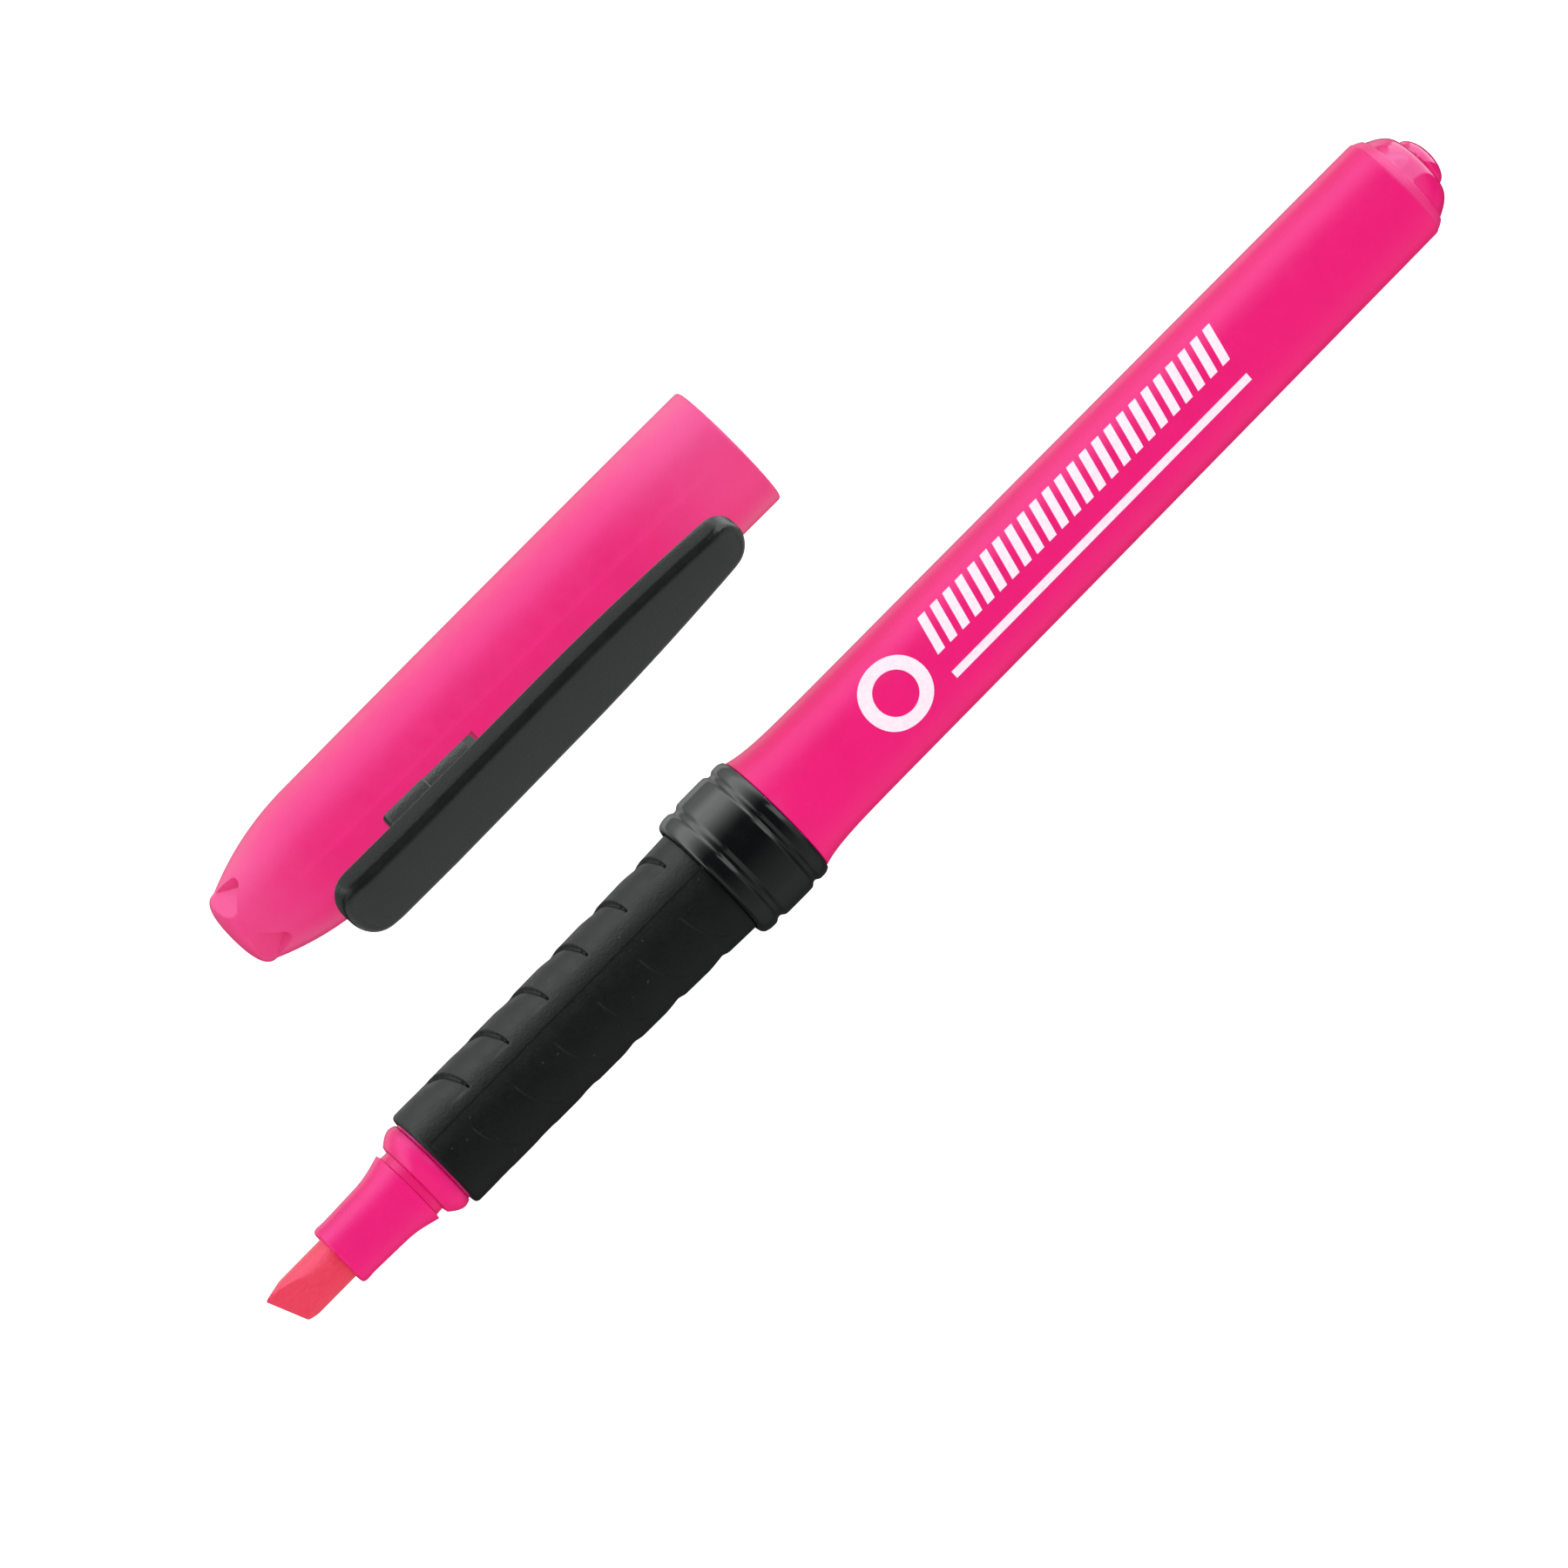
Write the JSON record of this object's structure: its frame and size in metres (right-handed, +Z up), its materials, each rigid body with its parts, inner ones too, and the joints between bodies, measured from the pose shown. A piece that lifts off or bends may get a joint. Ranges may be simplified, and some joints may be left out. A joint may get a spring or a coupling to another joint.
{
  "type": "highlighter",
  "caption": "Chisel-tip highlighter with a soft rubber grip, a black collar ring and a pull-off clip cap, lying uncapped with the cap beside it.",
  "frame": {"origin": "bottom centre of the whole set as it lies: pen and cap on z = 0", "axes": "+Z up; +X along the pen from the nib to the rear plug; +Y towards the cap lying beside it"},
  "size_m": [0.141, 0.0384, 0.0152],
  "materials": {
    "pink_barrel": "satin moulded polypropylene, bright magenta pink",
    "pink_front": "semi-gloss moulded polypropylene, magenta pink",
    "pink_plug": "semi-gloss moulded polypropylene, magenta pink",
    "pink_cap": "semi-gloss moulded polypropylene, magenta pink",
    "black_gloss": "polished black",
    "black_rubber": "matte soft-touch rubber",
    "black_clip": "satin moulded black plastic",
    "nib_fibre": "bonded fibre soaked in fluorescent ink",
    "ink_fibre": "bundled fibre soaked in ink",
    "clear_film": "thin clear film, shown opaque",
    "seal_plastic": "natural soft polypropylene"
  },
  "bodies": {
    "pen": {"barrel": "pink_barrel", "end_plug": "pink_plug", "collar": "black_gloss", "grip_sleeve": "black_rubber", "front_section": "pink_front", "chisel_nib": "nib_fibre", "ink_reservoir": "ink_fibre", "reservoir_wrap": "clear_film"},
    "cap": {"cap_shell": "pink_cap", "cap_inner_seal": "seal_plastic"},
    "clip": {"clip": "black_clip"}
  },
  "joints": [
    {"name": "cap_slide", "type": "slide", "parent": "pen", "child": "cap", "axis": [-1, 0.0079, 0], "range_m": [0, 0.085]},
    {"name": "clip_flex", "type": "hinge", "parent": "cap", "child": "clip", "pos_m": [-0.03421, 0.00848, 0.01069], "axis": [-0.0054, -0.6883, -0.7254], "range_deg": [0, 5], "stiffness_Nm_per_rad": 1.2}
  ]
}
